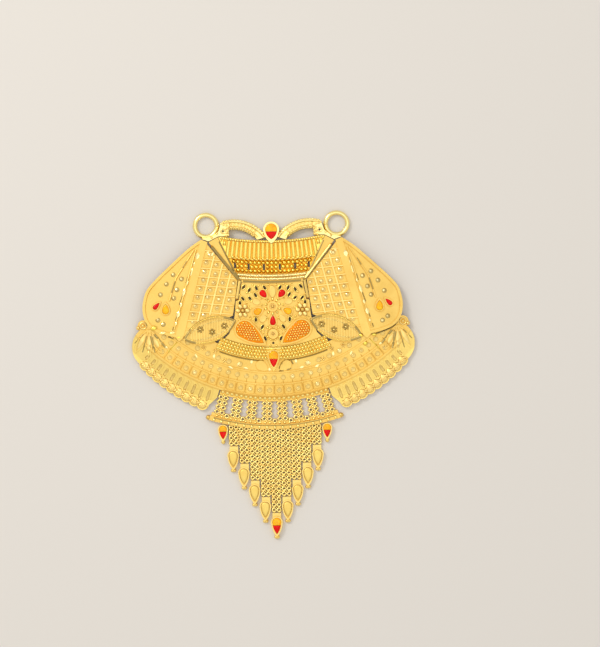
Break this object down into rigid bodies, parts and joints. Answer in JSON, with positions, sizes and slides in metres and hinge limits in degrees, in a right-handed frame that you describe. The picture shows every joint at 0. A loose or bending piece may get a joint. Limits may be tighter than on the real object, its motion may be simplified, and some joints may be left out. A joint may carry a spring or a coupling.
{
  "type": "mangalsutra pendant",
  "caption": "Gold pendant with a fan-shaped pierced body, orange and red enamel drops, chain rings at the top and a tapering chain fringe",
  "frame": {"origin": "centre of the bounding box on the surface that the pendant lies on", "axes": "+Z out of the pendant's front, +Y from the fringe towards the chain rings, +X to the right seen from the front"},
  "size_m": [0.0536, 0.062, 0.0027],
  "materials": {
    "gold_sheet": "cast and polished",
    "gold_deep": "cast, deeper yellow",
    "gold_chain": "polished wire",
    "gold_drop": "satin face, polished rim",
    "enamel_orange": "glossy enamel",
    "enamel_red": "glossy enamel"
  },
  "bodies": {
    "root": {"crest": "gold_sheet", "bow_straps": "gold_sheet", "wing_left": "gold_sheet", "wing_right": "gold_sheet", "leaf_left": "gold_sheet", "leaf_right": "gold_sheet", "centre_panel": "gold_sheet", "bead_arcs": "gold_sheet", "skirt": "gold_sheet", "comb": "gold_sheet", "neck_band": "gold_deep", "granule_row": "gold_deep", "strand_1": "gold_chain", "strand_2": "gold_chain", "strand_3": "gold_chain", "strand_4": "gold_chain", "strand_5": "gold_chain", "strand_6": "gold_chain", "strand_7": "gold_chain", "strand_8": "gold_chain", "strand_9": "gold_chain", "drop_1": "gold_drop", "drop_2": "gold_drop", "drop_3": "gold_drop", "drop_4": "gold_drop", "drop_5": "gold_drop", "drop_6": "gold_drop", "drop_7": "gold_drop", "drop_8": "gold_drop", "drop_9": "gold_drop", "side_drop_left": "gold_drop", "side_drop_right": "gold_drop", "crest_enamel_orange": "enamel_orange", "skirt_enamel_orange": "enamel_orange", "mango_enamel_left": "enamel_orange", "mango_enamel_right": "enamel_orange", "petal_orange_left": "enamel_orange", "petal_orange_right": "enamel_orange", "wing_orange_left": "enamel_orange", "wing_orange_right": "enamel_orange", "side_orange_left": "enamel_orange", "side_orange_right": "enamel_orange", "drop_enamel_orange": "enamel_orange", "crest_enamel_red": "enamel_red", "skirt_enamel_red": "enamel_red", "petal_red_left": "enamel_red", "petal_red_right": "enamel_red", "petal_red_lower": "enamel_red", "wing_red_left": "enamel_red", "wing_red_right": "enamel_red", "side_red_left": "enamel_red", "side_red_right": "enamel_red", "drop_enamel_red": "enamel_red"}
  },
  "joints": []
}
